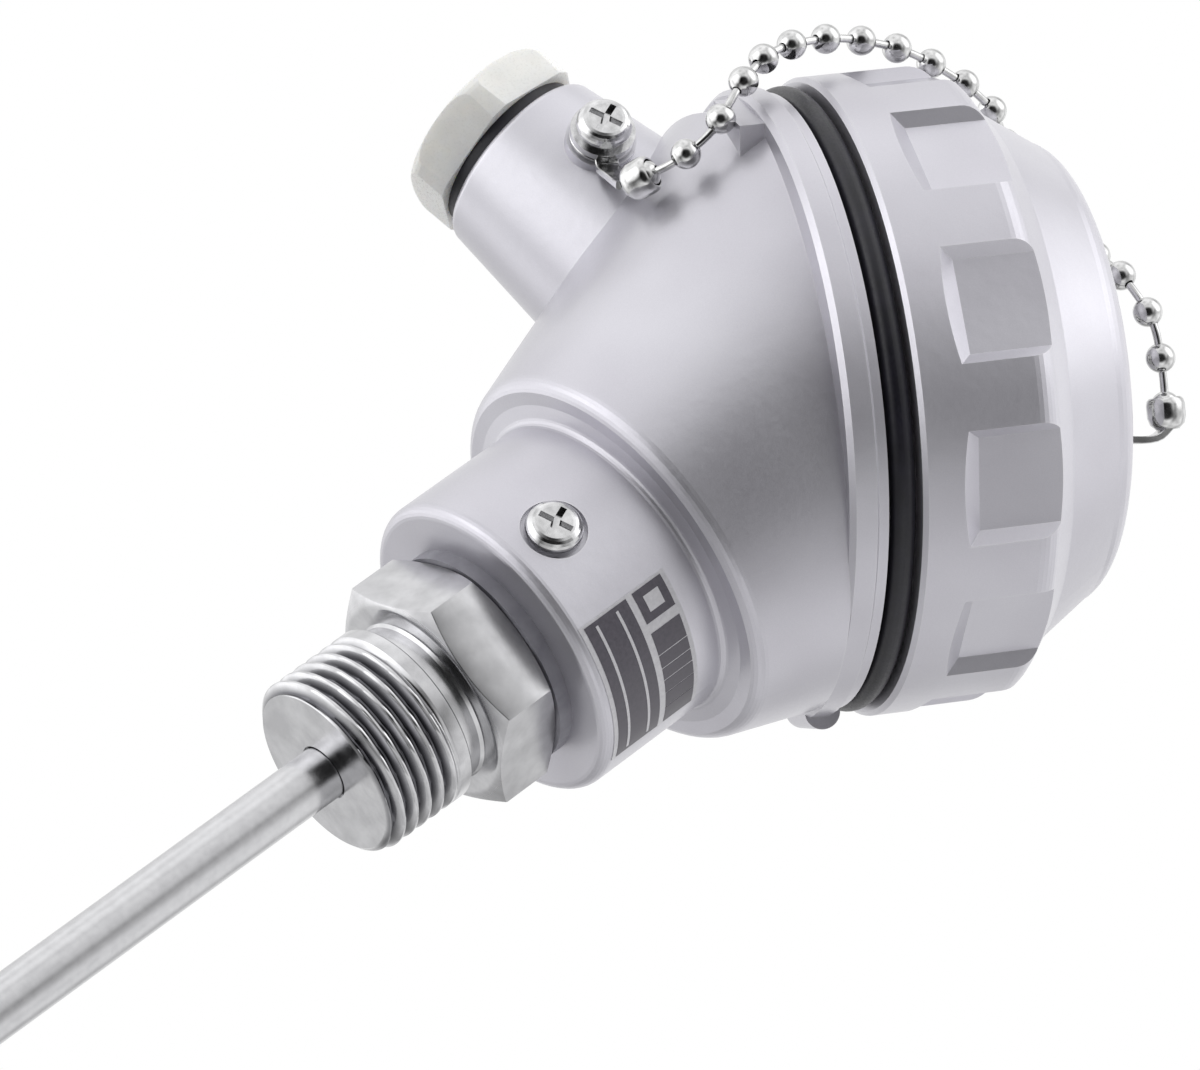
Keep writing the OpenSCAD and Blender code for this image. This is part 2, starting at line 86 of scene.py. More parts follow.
def node(tree, kind, settings, inputs):
    """Adds one node with its settings. An input takes a value, or a link from another node's output."""
    made = tree.nodes.new("ShaderNode" + kind)
    for name, value in settings.items():
        setattr(made, name, value)
    for name, value in inputs.items():
        if isinstance(value, bpy.types.NodeSocket):
            tree.links.new(value, made.inputs[name])
        else:
            made.inputs[name].default_value = value
    return made.outputs


def grain(size_mm, where, detail=3.0, roughness=0.55):
    """The inputs of a noise whose patches are that many millimetres across."""
    return {"Vector": where, "Scale": 1.0 / (size_mm * MM), "Detail": detail, "Roughness": roughness}


def between(value, low, high, start=0.32, end=0.68):
    """The inputs of a Map Range that turns start..end into low..high; most of a noise lies between 0.32 and 0.68."""
    return {"Value": value, "From Min": start, "From Max": end, "To Min": low, "To Max": high}


def begin(name, fixed):
    """A new material with its shader's fixed values; also its tree, its shader and the object's coordinates."""
    made = bpy.data.materials.new(name)
    made.use_nodes = True
    shader = made.node_tree.nodes["Principled BSDF"]
    for socket, value in fixed.items():
        shader.inputs[socket].default_value = value
    place = node(made.node_tree, "TexCoord", {}, {})["Object"]
    return made, made.node_tree, shader, place


def end(tree, shader, tint, roughness, relief):
    """Joins a finish's colour, roughness and relief to its shader."""
    for socket, value in (("Base Color", tint), ("Roughness", roughness), ("Normal", relief)):
        tree.links.new(value, shader.inputs[socket])


def stoved_silver_lacquer():
    """Die-cast aluminium under stoved silver lacquer: a soft satin grey from the flake in it, broken up by the
    lacquer's orange peel and the casting's pebble, and rubbed paler on outer edges."""
    made, tree, shader, place = begin("stoved_silver_lacquer", {
        "Metallic": 0.55, "IOR": 1.5, "Coat Weight": 0.3, "Coat Roughness": 0.22, "Coat IOR": 1.5})
    # lacquer laid on thicker and thinner over some 20 mm
    cloud = node(tree, "TexNoise", {}, grain(20.0, place, 2.0))["Fac"]
    # flakes of 0.03 mm are too fine to show, so they are drawn 0.12 mm across
    flake = node(tree, "TexNoise", {}, grain(0.12, place, 2.0))["Fac"]
    peel = node(tree, "TexNoise", {}, grain(1.4, place, 1.5, 0.4))["Fac"]
    pebble = node(tree, "TexNoise", {}, grain(0.32, place))["Fac"]
    blend = node(tree, "Math", {"operation": "MULTIPLY_ADD"}, {0: cloud, 1: 0.7, 2: 0.0})[0]
    blend = node(tree, "Math", {"operation": "MULTIPLY_ADD"}, {0: flake, 1: 0.3, 2: blend})[0]
    shade = node(tree, "MapRange", {}, between(blend, 0.0, 1.0))[0]
    coat = node(tree, "Mix", {"data_type": "RGBA"}, {0: shade, 6: colour("#bfbdc5"), 7: colour("#cfced5")})[2]
    # wear: where a bevel 0.35 mm wide would bend the face, the lacquer is rubbed
    soft = node(tree, "Bevel", {"samples": 4}, {"Radius": 0.35 * MM})[0]
    face = node(tree, "NewGeometry", {}, {})["Normal"]
    bend = node(tree, "VectorMath", {"operation": "DOT_PRODUCT"}, {0: soft, 1: face})["Value"]
    rubbed = node(tree, "MapRange", {}, between(bend, 0.4, 0.0, 0.80, 0.995))[0]
    tint = node(tree, "Mix", {"data_type": "RGBA"}, {0: rubbed, 6: coat, 7: colour("#e0e0e1")})[2]
    relief = node(tree, "Bump", {}, {"Strength": 0.5, "Distance": 0.035 * MM, "Height": peel})[0]
    relief = node(tree, "Bump", {}, {"Strength": 0.4, "Distance": 0.012 * MM, "Height": pebble, "Normal": relief})[0]
    relief = node(tree, "Bump", {}, {"Strength": 0.3, "Distance": 0.004 * MM, "Height": flake, "Normal": relief})[0]
    end(tree, shader, tint, node(tree, "MapRange", {}, between(pebble, 0.30, 0.38))[0], relief)
    return made


def moulded_nitrile(name, deep, bloomed):
    """Nitrile rubber from the mould: a satin skin, with a paler bloom in patches."""
    made, tree, shader, place = begin(name, {"IOR": 1.52, "Specular IOR Level": 0.4, "Sheen Weight": 0.05,
                                             "Sheen Roughness": 0.5})
    skin = node(tree, "TexNoise", {}, grain(0.25, place))["Fac"]
    bloom = node(tree, "TexNoise", {}, grain(2.5, place))["Fac"]
    patch = node(tree, "MapRange", {}, between(bloom, 0.0, 1.0))[0]
    tint = node(tree, "Mix", {"data_type": "RGBA"}, {0: patch, 6: colour(deep), 7: colour(bloomed)})[2]
    relief = node(tree, "Bump", {}, {"Strength": 0.5, "Distance": 0.01 * MM, "Height": skin})[0]
    end(tree, shader, tint, node(tree, "MapRange", {}, between(skin, 0.34, 0.50))[0], relief)
    return made


def turned_stainless_steel():
    """Stainless steel from the lathe: bright, with feed marks around the axis and smoother and duller bands, and
    painted shade in the thread's grooves.
    """
    made, tree, shader, place = begin("turned_stainless_steel", {"Metallic": 1.0, "Anisotropic": 0.3})
    # a feed of 0.08 mm a turn is too fine to show, so the marks are drawn 0.25 mm apart; they run along the cut face,
    # so they are counted by height and radius together
    split = node(tree, "SeparateXYZ", {}, {"Vector": place})
    flat = node(tree, "CombineXYZ", {}, {"X": split["X"], "Y": split["Y"]})[0]
    radius = node(tree, "VectorMath", {"operation": "LENGTH"}, {0: flat})["Value"]
    path = node(tree, "Math", {"operation": "ADD"}, {0: split["Z"], 1: radius})[0]
    along = {"noise_dimensions": "1D"}
    feed = node(tree, "TexNoise", along, {"W": path, "Scale": 1.0 / (0.25 * MM), "Detail": 3.0})["Fac"]
    band = node(tree, "TexNoise", along, {"W": path, "Scale": 1.0 / (2.0 * MM), "Detail": 2.0})["Fac"]
    haze = node(tree, "TexNoise", {}, grain(3.0, place))["Fac"]
    patch = node(tree, "MapRange", {}, between(haze, 0.0, 1.0))[0]
    clean = node(tree, "Mix", {"data_type": "RGBA"}, {0: patch, 6: colour("#b3b3b5"), 7: colour("#c8c8ca")})[2]
    # painted shade in the thread's grooves: the steel is mixed towards dark grey near the axis, fading out towards the
    # crests, at the end face and before the undercut
    full_shade_r, crest = 9.5 * MM, 10.25 * MM
    end_face, first_groove = -13.95 * MM, -13.7 * MM
    last_groove, undercut = -3.3 * MM, -2.9 * MM
    deep = node(tree, "MapRange", {}, between(radius, 1.0, 0.0, full_shade_r, crest))[0]
    above = node(tree, "MapRange", {}, between(split["Z"], 0.0, 1.0, end_face, first_groove))[0]
    below = node(tree, "MapRange", {}, between(split["Z"], 1.0, 0.0, last_groove, undercut))[0]
    groove_shade = node(tree, "Math", {"operation": "MULTIPLY"}, {0: deep, 1: above})[0]
    groove_shade = node(tree, "Math", {"operation": "MULTIPLY"}, {0: groove_shade, 1: below})[0]
    tint = node(tree, "Mix", {"data_type": "RGBA"}, {0: groove_shade, 6: clean, 7: colour("#5a5a5e")})[2]
    relief = node(tree, "Bump", {}, {"Strength": 0.3, "Distance": 0.003 * MM, "Height": feed})[0]
    # above the thread the hexagon keeps the duller face of the drawn bar
    cut = node(tree, "MapRange", {}, between(band, 0.15, 0.24))[0]
    bar = node(tree, "MapRange", {}, between(split["Z"], 0.0, 0.13, 0.0, 0.4 * MM))[0]
    end(tree, shader, tint, node(tree, "Math", {"operation": "ADD"}, {0: cut, 1: bar})[0], relief)
    return made


def drawn_stainless_tube():
    """Stainless tube drawn through a die: bright, with hair lines along it and cross rubs from handling."""
    made, tree, shader, place = begin("drawn_stainless_tube", {"Metallic": 1.0, "Anisotropic": 0.3})
    # die lines of 0.05 mm are drawn 0.17 mm wide so that they show; along the tube they are thirty times as long
    stretch = node(tree, "VectorMath", {"operation": "MULTIPLY"}, {0: place, 1: (1.0, 1.0, 0.033)})[0]
    line = node(tree, "TexNoise", {}, grain(0.17, stretch))["Fac"]
    rub = node(tree, "TexNoise", {}, grain(1.2, place))["Fac"]
    patch = node(tree, "MapRange", {}, between(rub, 0.0, 1.0))[0]
    tint = node(tree, "Mix", {"data_type": "RGBA"}, {0: patch, 6: colour("#bdbdbf"), 7: colour("#c6c6c8")})[2]
    relief = node(tree, "Bump", {}, {"Strength": 0.25, "Distance": 0.0015 * MM, "Height": line})[0]
    end(tree, shader, tint, node(tree, "MapRange", {}, between(rub, 0.18, 0.22))[0], relief)
    return made


def plated(name, dull, bright, smooth, hazy):
    """Plated metal: a bright skin, with thin haze in patches and a fine ripple from the bath."""
    made, tree, shader, place = begin(name, {"Metallic": 1.0})
    haze = node(tree, "TexNoise", {}, grain(1.1, place))["Fac"]
    # the bath's ripple of 0.02 mm is drawn 0.15 mm wide so that it shows
    ripple = node(tree, "TexNoise", {}, grain(0.15, place, 2.0))["Fac"]
    patch = node(tree, "MapRange", {}, between(haze, 0.0, 1.0))[0]
    tint = node(tree, "Mix", {"data_type": "RGBA"}, {0: patch, 6: colour(dull), 7: colour(bright)})[2]
    relief = node(tree, "Bump", {}, {"Strength": 0.3, "Distance": 0.002 * MM, "Height": ripple})[0]
    end(tree, shader, tint, node(tree, "MapRange", {}, between(haze, smooth, hazy))[0], relief)
    return made


def moulded_nylon():
    """Natural nylon from the mould: milky, so light goes a little way in, with a waxy shine and faint flow lines."""
    made, tree, shader, place = begin("moulded_natural_nylon", {
        "IOR": 1.53, "Subsurface Weight": 0.4, "Subsurface Scale": 0.003, "Subsurface Radius": (1.0, 0.9, 0.75)})
    flow = node(tree, "TexNoise", {}, grain(4.0, place))["Fac"]
    skin = node(tree, "TexNoise", {}, grain(0.25, place))["Fac"]
    patch = node(tree, "MapRange", {}, between(flow, 0.0, 1.0))[0]
    tint = node(tree, "Mix", {"data_type": "RGBA"}, {0: patch, 6: colour("#e8e8e5"), 7: colour("#f3f3f0")})[2]
    relief = node(tree, "Bump", {}, {"Strength": 0.4, "Distance": 0.004 * MM, "Height": skin})[0]
    end(tree, shader, tint, node(tree, "MapRange", {}, between(skin, 0.24, 0.36))[0], relief)
    return made


def pressed_steatite():
    """Steatite pressed and fired: off-white and dull, with fine pores and a few grey specks."""
    made, tree, shader, place = begin("pressed_steatite", {"IOR": 1.6})
    pore = node(tree, "TexNoise", {}, grain(0.3, place, 4.0, 0.65))["Fac"]
    speck = node(tree, "TexVoronoi", {}, {"Vector": place, "Scale": 1.0 / (1.1 * MM)})["Distance"]
    patch = node(tree, "MapRange", {}, between(pore, 0.0, 1.0))[0]
    fired = node(tree, "Mix", {"data_type": "RGBA"}, {0: patch, 6: colour("#dcd7ca"), 7: colour("#efece3")})[2]
    dirt = node(tree, "MapRange", {}, between(speck, 0.35, 0.0, 0.04, 0.10))[0]
    tint = node(tree, "Mix", {"data_type": "RGBA"}, {0: dirt, 6: fired, 7: colour("#a9a294")})[2]
    relief = node(tree, "Bump", {}, {"Strength": 0.5, "Distance": 0.02 * MM, "Height": pore})[0]
    end(tree, shader, tint, node(tree, "MapRange", {}, between(pore, 0.45, 0.62))[0], relief)
    return made


def silicone_jacket():
    """Extruded silicone on the leads: soft red, with a dusty bloom."""
    made, tree, shader, place = begin("extruded_silicone", {"IOR": 1.43, "Sheen Weight": 0.2, "Sheen Roughness": 0.4})
    dust = node(tree, "TexNoise", {}, grain(0.8, place))["Fac"]
    patch = node(tree, "MapRange", {}, between(dust, 0.0, 1.0))[0]
    tint = node(tree, "Mix", {"data_type": "RGBA"}, {0: patch, 6: colour("#9c2a20"), 7: colour("#b8402f")})[2]
    relief = node(tree, "Bump", {}, {"Strength": 0.4, "Distance": 0.01 * MM, "Height": dust})[0]
    end(tree, shader, tint, node(tree, "MapRange", {}, between(dust, 0.45, 0.60))[0], relief)
    return made


def printed_film(name, low, high):
    """Ink or bare film on the neck: flat and satin, with small rubs."""
    made, tree, shader, place = begin(name, {"IOR": 1.5, "Coat Weight": 0.3, "Coat Roughness": 0.3})
    rub = node(tree, "TexNoise", {}, grain(0.5, place, 4.0, 0.65))["Fac"]
    patch = node(tree, "MapRange", {}, between(rub, 0.0, 1.0))[0]
    tint = node(tree, "Mix", {"data_type": "RGBA"}, {0: patch, 6: colour(low), 7: colour(high)})[2]
    relief = node(tree, "Bump", {}, {"Strength": 0.4, "Distance": 0.004 * MM, "Height": rub})[0]
    end(tree, shader, tint, node(tree, "MapRange", {}, between(rub, 0.32, 0.46))[0], relief)
    return made


FINISH = {
    "head_paint": stoved_silver_lacquer(),
    "seal_rubber": moulded_nitrile("moulded_black_nitrile", "#0b0a15", "#171523"),
    "fitting_steel": turned_stainless_steel(),
    "sheath_steel": drawn_stainless_tube(),
    "screw_steel": plated("nickel_plated_screw", "#b7b7b8", "#d3d3d4", 0.10, 0.20),
    "chain_nickel": plated("nickel_plated_brass_bead", "#b3b3b3", "#cecece", 0.09, 0.17),
    "plug_plastic": moulded_nylon(),
    "plate_steel": plated("zinc_plated_sheet", "#a6a7a6", "#c6c7c5", 0.26, 0.42),
    "block_ceramic": pressed_steatite(),
    "brass": plated("turned_brass", "#a3813d", "#c9a65c", 0.18, 0.32),
    "wire_jacket": silicone_jacket(),
}
# painted shade: the washer between the hexagon and the neck gets a mid grey that stands in for the shade in that gap
GAP_SHADE_WASHER = moulded_nitrile("grey_nitrile_gap_shade", "#86858e", "#98979f")
MACHINED = plated("machined_aluminium", "#bdbdbf", "#c8c8ca", 0.28, 0.34)
DARK_INK = printed_film("printed_dark_ink", "#37323f", "#48434f")
PALE_FILM = printed_film("pale_printed_film", "#b9b8bd", "#c9c8cc")

NODE_FINISH = {
    "head_body": "head_paint", "screw_cap": "head_paint", "cap_o_ring": "seal_rubber",
    "process_fitting": "fitting_steel", "neck_set_screw": "screw_steel",
    "probe_sheath": "sheath_steel", "sheath_core": "block_ceramic", "sensing_element": "block_ceramic",
    "cable_plug": "plug_plastic", "plug_gasket": "seal_rubber", "earth_screw": "screw_steel",
    "earth_washer": "screw_steel", "chain_eyelet": "chain_nickel", "chain_fixed_run": "chain_nickel",
    "chain_free_run": "chain_nickel", "cap_anchor": "chain_nickel", "anchor_screw": "screw_steel",
    "mounting_plate": "plate_steel", "terminal_block": "block_ceramic", "plate_screws": "screw_steel",
    "terminal_clamps": "brass", "terminal_screws": "brass", "lead_wires": "wire_jacket",
}
dressed = {name: FINISH[slot] for name, slot in NODE_FINISH.items()}
dressed["neck_gasket"] = GAP_SHADE_WASHER
for name, material in dressed.items():
    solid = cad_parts[name]
    if not solid.material_slots:
        solid.data.materials.append(material)
    for slot in solid.material_slots:
        slot.material = material


# ---------------------------------------------------------------- making meshes
def make(name, form, material, body, angle=35.0):
    """A piece from vertices in millimetres and faces, smooth but for edges sharper than angle. It rides on body,
    unless that is None, and takes material as its finish."""
    mesh = bpy.data.meshes.new(name)
    mesh.from_pydata([Vector(v) * MM for v in form[0]], [], form[1])
    mesh.validate()
    shell = bmesh.new()
    shell.from_mesh(mesh)
    bmesh.ops.recalc_face_normals(shell, faces=shell.faces)
    shell.to_mesh(mesh)
    shell.free()
    for face in mesh.polygons:
        face.use_smooth = True
    mesh.set_sharp_from_angle(angle=math.radians(angle))
    piece = bpy.data.objects.new(name, mesh)
    scene.collection.objects.link(piece)
    mesh.materials.append(material)
    if body:
        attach(piece, body)
    return piece


def join(forms):
    """Several forms as one."""
    verts, faces = [], []
    for v, f in forms:
        base = len(verts)
        verts += v
        faces += [tuple(i + base for i in face) for face in f]
    return verts, faces


def even_turns(count, start=0.0):
    return [start + 2 * math.pi * i / count for i in range(count)]


def lathe(rows, turns, place=None, ends=False):
    """A closed form around Z: each row is (radius, height), or a function of the angle that gives them. The last row
    joins the first, so that the rows run around the form's section; with ends, both are capped instead."""
    verts, faces = [], []
    for row in rows:
        for turn in turns:
            r, z = row(turn) if callable(row) else row
            v = Vector((r * math.cos(turn), r * math.sin(turn), z))
            verts.append(place @ v if place else v)
    n, k = len(turns), len(rows)
    if ends:
        faces += [tuple(range(n - 1, -1, -1)), tuple(range((k - 1) * n, k * n))]
    for j in range(k - 1 if ends else k):
        for i in range(n):
            faces.append((j * n + i, j * n + (i + 1) % n, ((j + 1) % k) * n + (i + 1) % n, ((j + 1) % k) * n + i))
    return verts, faces


def sweep(points, outline, across):
    """A bar along points: its section is outline, whose first measure lies along across."""
    verts, faces = [], []
    n = len(outline)
    for k, point in enumerate(points):
        way = (points[min(len(points) - 1, k + 1)] - points[max(0, k - 1)]).normalized()
        side = (across - way * across.dot(way)).normalized()
        other = way.cross(side)
        verts += [point + side * a + other * b for a, b in outline]
    for k in range(len(points) - 1):
        faces += [(k * n + i, k * n + (i + 1) % n, (k + 1) * n + (i + 1) % n, (k + 1) * n + i) for i in range(n)]
    faces += [tuple(range(n - 1, -1, -1)), tuple(range((len(points) - 1) * n, len(points) * n))]
    return verts, faces


def spline_through(points, s):
    """The point at s, counted in points, on a smooth curve through them."""
    i = min(len(points) - 2, int(math.floor(s)))
    t = s - i
    a, b, c, d = [points[max(0, min(len(points) - 1, i + k))] for k in (-1, 0, 1, 2)]
    return 0.5 * (2 * b + (c - a) * t + (2 * a - 5 * b + 4 * c - d) * t * t + (3 * b - a - 3 * c + d) * t * t * t)


# ---------------------------------------------------------------- process fitting with its cut thread
HEX_AF, HEX_H = 24.0, 8.0
HEX_TURN = math.radians(21.5)
BORE_R = 2.8
STEM_R, STEM_TOP, NECK_Z = HEX_AF / 2 - 2, 23.4, 9.7
# a groove's floor passes START_Z at START_TURN; the thread starts to run out RUN_OUT_LEN below THREAD_TOP and is gone
# there; half a crest and a flank are shares of half a pitch; the chamfer is LEAD_LEN long and LEAD_DEPTH deep
START_Z, START_TURN = -13.4, math.radians(-68.5)
THREAD_TOP, RUN_OUT_LEN = -4.2, 1.0
CREST, FLANK = 0.14, 0.72
LEAD_LEN, LEAD_DEPTH = 0.9, 1.1
ROW_STEP = 0.11


def thread_row(z):
    """The thread's rounded V, right-handed, running out into the smooth shank."""
    fade = min(1.0, max(0.0, (THREAD_TOP - z) / RUN_OUT_LEN))

    def row(turn):
        phase = (z - START_Z) / PITCH - (turn - START_TURN) / (2 * math.pi)
        flank = min(1.0, max(0.0, (abs((phase % 1.0) - 0.5) * 2.0 - CREST) / FLANK))
        depth = flank * flank * (3 - 2 * flank) * 0.5 + flank * 0.5
        lead = min(1.0, (z + THREAD_LEN) / LEAD_LEN)
        return min(THREAD_R - LEAD_DEPTH * (1 - lead), THREAD_R - THREAD_DEPTH * fade * depth), z
    return row


def hex_side(turn):
    return HEX_AF / 2 / math.cos((turn - HEX_TURN) % (math.pi / 3) - math.pi / 6)


def chamfer(turn):
    """Where the chamfer's cone meets the hexagon's side, as a height above its face."""
    low = HEX_AF / 2 - 0.3
    high = HEX_AF / 2 / math.cos(math.pi / 6) + 0.3
    return 1.25 * (hex_side(turn) - low) / (high - low)


rows = [(BORE_R, -THREAD_LEN + 0.4), (BORE_R + 0.4, -THREAD_LEN), (6.2, -THREAD_LEN),
        (THREAD_R - LEAD_DEPTH, -THREAD_LEN)]
z = -THREAD_LEN + 0.1
while z < THREAD_TOP + 0.05:
    rows.append(thread_row(z))
    z += ROW_STEP
rows += [(THREAD_R, -4.1), (THREAD_R, -2.75), (THREAD_R - 0.12, -2.6), (THREAD_R - 1.05, -2.55), (UNDERCUT_R, -2.4),
         (UNDERCUT_R, -0.35), (THREAD_R - 0.95, 0.0), (HEX_AF / 2 - 0.75, 0.0), (HEX_AF / 2 - 0.3, 0.0)]
rows += [lambda turn: (hex_side(turn) - 0.05, chamfer(turn) - 0.06),
         lambda turn: (hex_side(turn), chamfer(turn) + 0.06),
         lambda turn: (hex_side(turn), HEX_H - chamfer(turn) - 0.06),
         lambda turn: (hex_side(turn) - 0.05, HEX_H - chamfer(turn) + 0.06)]
rows += [(HEX_AF / 2 - 0.3, HEX_H), (STEM_R - 1, HEX_H), (STEM_R - 1, NECK_Z + 0.6), (STEM_R, NECK_Z + 1.2),
         (STEM_R, STEM_TOP - 0.8), (STEM_R - 0.8, STEM_TOP), (BORE_R, STEM_TOP)]
fitting = make("threaded_process_fitting", lathe(rows, even_turns(180, HEX_TURN)), FINISH["fitting_steel"], "head",
               28.0)
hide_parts("process_fitting")

# ---------------------------------------------------------------- sheath, drawn round and closed at its tip
# inside the fitting it steps down to SPIGOT_R; its bore is CORE_R
SHEATH_R, TIP_Z, BLOCK_Z = 3.0, -114.0, 32.1
SPIGOT_R, CORE_R = SHEATH_R - 0.25, 2.4
rows = [(0.05, TIP_Z)] + [(SHEATH_R * math.cos(a), TIP_Z + SHEATH_R - SHEATH_R * math.sin(a))
                          for a in [math.radians(88 - 8 * k) for k in range(11)]]
rows += [(SHEATH_R, TIP_Z + SHEATH_R + 0.4)]
rows += [(SHEATH_R, -104.0 + 10.0 * k) for k in range(9)]
rows += [(SHEATH_R, -THREAD_LEN - 0.02), (SPIGOT_R, -THREAD_LEN), (SPIGOT_R, BLOCK_Z - 0.2),
         (SPIGOT_R - 0.1, BLOCK_Z), (CORE_R + 0.1, BLOCK_Z), (CORE_R, BLOCK_Z - 0.1),
         (CORE_R, TIP_Z + SHEATH_R + 0.1)]
sheath = make("drawn_probe_sheath", lathe(rows, even_turns(72), None, True), FINISH["sheath_steel"], "head",
              30.0)
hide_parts("probe_sheath")

# ---------------------------------------------------------------- ball chain
RIM = Vector((-1.7, 0.0, 59.8))
CAP_TILT, CHAIN_ANGLE = math.radians(30.5), math.radians(213)
BALL_R, BALL_PITCH, LINK_R = 1.65, 5.2, 0.45
HOLE_LIP_R, WIRE_STEP = 0.62, 0.9
chain_place = Matrix.Translation(RIM) @ Matrix.Rotation(CAP_TILT, 4, "Y") @ Matrix.Rotation(CHAIN_ANGLE, 4, "Z")
# the chain's line, seen from the cap: outwards, sideways and along its axis
run = [Vector(p) for p in (
    (25.8, 9.9, -18.2), (27.0, 12.5, -15.2), (29.8, 13.8, -11.2), (34.2, 12.8, -7.4), (37.6, 8.0, -2.2),
    (38.7, 4.2, 4.0), (38.3, 1.0, 10.0), (36.0, -2.9, 17.6), (30.2, -7.6, 26.2), (23.0, -13.0, 30.2),
    (15.6, -11.0, 33.4), (10.6, 0.4, 35.9), (4.6, 4.2, 38.3), (-1.0, 4.0, 39.0), (-5.2, 4.0, 38.9))]
fine = [spline_through(run, k / 20) for k in range(20 * (len(run) - 1) + 1)]
lengths = [0.0]
for k in range(1, len(fine)):
    lengths.append(lengths[-1] + (fine[k] - fine[k - 1]).length)
ball_count = int(lengths[-1] // BALL_PITCH) + 1
ball_step = lengths[-1] / (ball_count - 1)


def at_length(s):
    for k in range(1, len(lengths)):
        if lengths[k] >= s - 1e-9:
            f = (s - lengths[k - 1]) / (lengths[k] - lengths[k - 1])
            return fine[k - 1].lerp(fine[k], f)
    return fine[-1]


balls = [at_length(i * ball_step) for i in range(ball_count)]


def chain_way(i):
    return (balls[min(ball_count - 1, i + 1)] - balls[max(0, i - 1)]).normalized()


def along_chain(centre, way):
    """Where a turned piece goes on the chain: its axis lies along way."""
    return chain_place @ Matrix.Translation(centre) @ way.to_track_quat("Z", "X").to_matrix().to_4x4()


def hollow_bead(i):
    """A hollow bead, with the rolled lips of its two holes."""
    first = math.asin(HOLE_LIP_R / BALL_R)
    bow = [-math.pi / 2 + first + (math.pi - 2 * first) * k / 16 for k in range(17)]
    outline = [(BALL_R * math.cos(a), BALL_R * math.sin(a)) for a in bow]
    top = outline[-1][1]
    rows = [(0.50, -top + 0.25), (0.50, -top + 0.02), (0.56, -top - 0.03)] + outline
    rows += [(0.56, top + 0.03), (0.50, top - 0.02), (0.50, top - 0.25)]
    return lathe(rows, even_turns(28), along_chain(balls[i], chain_way(i)))


# heights along the cap's axis: the first bead, where the lower and upper stretches meet, and the cap's first bead
LOW_A, SPLIT_A, TOP_A = balls[0].z, -1.0, 19.0
on_cap = []
for i, ball in enumerate(balls):
    bead = hollow_bead(i)
    if ball.z >= TOP_A:
        on_cap.append(bead)
        continue
    piece = make("chain_bead_%02d" % i, bead, FINISH["chain_nickel"], None, 40.0)
    lower = ball.z < SPLIT_A
    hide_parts("chain_fixed_run" if lower else "chain_free_run")
    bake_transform(piece)
beads = make("chain_beads_on_cap", join(on_cap), FINISH["chain_nickel"], "cap_swivel", 40.0)
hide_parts("chain_free_run")


def chain_links(name, first, last, solid):
    """The wire links, as one thin rod through the beads between two lengths of the chain."""
    n = max(2, int((last - first) / WIRE_STEP))
    line = [chain_place @ at_length(first + (last - first) * k / n) for k in range(n + 1)]
    round_wire = [(LINK_R * math.cos(a), LINK_R * math.sin(a)) for a in even_turns(12)]
    piece = make(name, sweep(line, round_wire, Vector((0, 0, 1))), FINISH["chain_nickel"], None)
    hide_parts(solid)
    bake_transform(piece)


split = next(length for point, length in zip(fine, lengths) if point.z >= SPLIT_A)
chain_links("chain_links_lower", 0.0, split, "chain_fixed_run")
chain_links("chain_links_upper", split, lengths[-1], "chain_free_run")

# ---------------------------------------------------------------- the chain's two ends
# a rolled bell that grips the last bead: its section, with the mouth towards the chain
BELL = [(0.5, -2.6), (1.3, -2.55), (1.9, -2.0), (2.15, -1.2), (2.15, 0.2), (2.02, 0.7), (1.75, 0.95), (1.6, 0.9),
        (1.8, 0.5), (1.9, 0.0), (1.9, -1.0), (1.6, -1.9), (0.5, -2.2)]
STRAP = [(-1.3, -0.3), (-1.2, -0.4), (1.2, -0.4), (1.3, -0.3), (1.3, 0.3), (1.2, 0.4), (-1.2, 0.4), (-1.3, 0.3)]
TAB_T, HOLE_R, EARTH_TAB_R, CAP_TAB_R = 0.8, 2.05, 3.6, 4.6
# from the last bead's middle back to the bell's closed end
BELL_BACK = 2.3
# heights on the cap's axis
CAP_TOP, PAD_H = 29.15, 1.2
PAD_TOP = CAP_TOP + PAD_H


def tab_ring(outer):
    """The stamped eye that a screw holds, its edges rolled by the press."""
    return [(HOLE_R, 0.1), (HOLE_R + 0.1, 0.0), (outer - 0.15, 0.0), (outer, 0.15), (outer, TAB_T - 0.2),
            (outer - 0.2, TAB_T), (HOLE_R + 0.15, TAB_T), (HOLE_R, TAB_T - 0.15)]


washer_low, washer_high = [Vector(corner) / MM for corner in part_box("earth_washer")]
eye = Vector(((washer_low.x + washer_high.x) / 2, washer_high.y + TAB_T, (washer_low.z + washer_high.z) / 2))
eye_place = Matrix.Translation(eye) @ Matrix(((1, 0, 0), (0, 0, -1), (0, 1, 0))).to_4x4()
bell_back = chain_place @ (balls[0] - chain_way(0) * BELL_BACK)
level = eye.y - TAB_T / 2
out = Vector((bell_back.x - eye.x, 0, bell_back.z - eye.z)).normalized()
start = Vector((eye.x, level, eye.z))
bent = start + out * 4.4
strip = [start + out * 2.6, start + out * 3.6] + [bent.lerp(bell_back, share) for share in (0.04, 0.4, 0.75)]
strip.append(bell_back)
strip = [spline_through(strip, k / 4) for k in range(4 * (len(strip) - 1) + 1)]
wide = out.cross(Vector((0, 1, 0)))
eyelet = make("stamped_chain_eyelet",
              join([lathe(tab_ring(EARTH_TAB_R), even_turns(48), eye_place),
                    sweep(strip, STRAP, wide),
                    lathe(BELL, even_turns(32), along_chain(balls[0], chain_way(0)))]),
              FINISH["chain_nickel"], "head", 40.0)
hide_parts("chain_eyelet")

